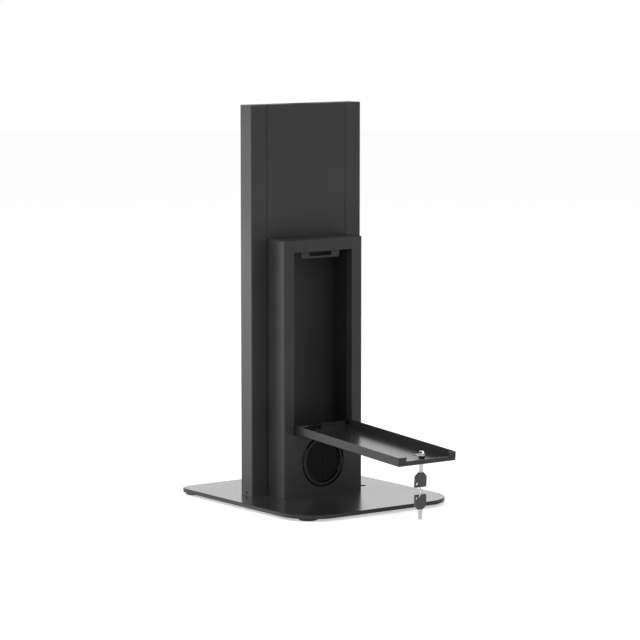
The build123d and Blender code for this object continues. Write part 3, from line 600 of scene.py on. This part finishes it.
# %% Split ring
ring_low, ring_high = (Vector(corner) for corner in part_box("key_ring"))
ring_middle = (ring_low + ring_high) / 2
ring_outer = (ring_high.z - ring_low.z) / 2
ring_turns = 2
strands_across = ring_turns + 1.05  # the climb of every turn, the strand itself and a little play
strand_width = (ring_high.x - ring_low.x) / strands_across
strand_depth = 1.5 * MM
corner_cut = 0.2 * MM

half_width, half_depth = strand_width / 2, strand_depth / 2
ring_start = Vector((ring_low.x + half_width, ring_middle.y, ring_middle.z))
strand = [
    (half_width - corner_cut, half_depth), (half_width, half_depth - corner_cut),
    (half_width, corner_cut - half_depth), (half_width - corner_cut, -half_depth),
    (corner_cut - half_width, -half_depth), (-half_width, corner_cut - half_depth),
    (-half_width, half_depth - corner_cut), (corner_cut - half_width, half_depth),
]
ring_section = [
    ring_start + Vector((across, ring_outer - half_depth + outward, 0.0))
    for across, outward in strand
]
key_ring_shape = bmesh.new()
wound(key_ring_shape, ring_section, ring_start, ring_turns, strand_width, steps_a_turn=64)
key_ring = add_piece("split_ring", key_ring_shape, key_steel, "key_ring")
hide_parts("key_ring")

# %% [markdown]
# ## Floor
# The stand is shown on white. The floor is a pale disc that takes the stand's shadow, and the camera
# and every mirror-like surface see it as plain white. That is done with a glow that only such rays
# meet, so dull surfaces get no more light from the floor than pale paint gives.

# %% Floor
floor_radius = 14.0
floor_level = 0.86
floor_glow = 0.5  # seen by the camera and in mirrors, it lifts the floor to white

floor_shape = bmesh.new()
bmesh.ops.create_circle(floor_shape, cap_ends=True, segments=96, radius=floor_radius)
floor_mesh = bpy.data.meshes.new("studio_floor")
floor_shape.to_mesh(floor_mesh)
floor_shape.free()
floor = bpy.data.objects.new("studio_floor", floor_mesh)
bpy.context.scene.collection.objects.link(floor)
floor_finish = Finish("studio_floor")
pale = floor_finish.node("ShaderNodeBsdfDiffuse", None, {"Color": (*grey(floor_level), 1.0)})
glow = floor_finish.node(
    "ShaderNodeEmission", None, {"Color": (1.0, 1.0, 1.0, 1.0), "Strength": floor_glow}
)
lit = floor_finish.node("ShaderNodeAddShader", None, {0: pale, 1: glow})
looking = floor_finish.rays("Camera") + floor_finish.rays("Glossy") + floor_finish.rays("Transmission")
seen = floor_finish.node("ShaderNodeMath", {"operation": "MINIMUM"}, {0: looking, 1: 1.0})
surface = floor_finish.node("ShaderNodeMixShader", None, {0: seen, 1: pale, 2: lit})
floor_finish.node("ShaderNodeOutputMaterial", None, {"Surface": surface})
paint(floor, floor_finish.material)
print("floor", floor_radius, "m in radius")

# %% [markdown]
# ## Sky
# The sky is white to the camera and gives a little more than half as much light. A surface that
# mirrors it finds it white near the horizon and dimmer overhead, as under the ceiling of a studio,
# so that faces which look up don't all turn white.

# %% Sky
sky_light = 0.55  # what the sky gives off as light
overhead_level = 0.25  # what mirrors see overhead, where white is 1
white_below, dim_above = 0.24, 0.55  # the upward part of a direction, between which it dims

world = bpy.data.worlds.new("studio")
bpy.context.scene.world = world
sky = Net(world)
direction = sky.node("ShaderNodeTexCoord", output="Generated")
upward = sky.node("ShaderNodeSeparateXYZ", None, {"Vector": direction}, "Z")
mirrored = sky.between(upward, white_below, dim_above, 1.0, overhead_level)
clear_view = sky.node(
    "ShaderNodeMath", {"operation": "MAXIMUM"}, {0: sky.rays("Camera"), 1: sky.rays("Transmission")}
)
unmirrored = sky.between(clear_view, 0.0, 1.0, sky_light, 1.0)
strength = sky.between(sky.rays("Glossy"), 0.0, 1.0, unmirrored, mirrored)
backdrop = sky.node(
    "ShaderNodeBackground", None, {"Color": (1.0, 1.0, 1.0, 1.0), "Strength": strength}
)
sky.node("ShaderNodeOutputWorld", None, {"Surface": backdrop})
print("sky nodes", len(sky.tree.nodes))

# %% [markdown]
# ## Lamps
# The column's narrow side that the camera sees is its brightest face, because it softly mirrors a
# strip of light farther back. The strip stands just above the floor, so the upper faces mirror it
# only at the flattest angles. A large lamp hangs high on the same side, another lights the box side,
# and a weak one hangs overhead.

# %% Soft lamps
def soft_lamp(name, place, target, size, watts):
    """A large area lamp aimed at a point."""
    data = bpy.data.lights.new(name, "AREA")
    data.shape = "RECTANGLE"
    data.size, data.size_y = size
    data.energy = watts
    lamp = bpy.data.objects.new(name, data)
    lamp.location = place
    lamp.rotation_euler = (Vector(target) - Vector(place)).to_track_quat("-Z", "Y").to_euler()
    bpy.context.scene.collection.objects.link(lamp)
    print(name, watts, "W")


soft_lamp("side_lamp", place=(2.9, 0.0, 2.3), target=(0.0, 0.0, 0.3), size=(1.6, 1.2), watts=46.0)
soft_lamp("side_card", place=(2.0, -2.2, 0.22), target=(0.0, 0.0, 0.3), size=(2.0, 0.4), watts=28.0)
soft_lamp("fill_lamp", place=(0.6, 3.8, 1.9), target=(0.0, 0.0, 0.4), size=(1.8, 1.8), watts=30.0)
soft_lamp("top_lamp", place=(0.2, 0.2, 3.4), target=(0.0, 0.0, 0.3), size=(1.6, 1.6), watts=12.0)
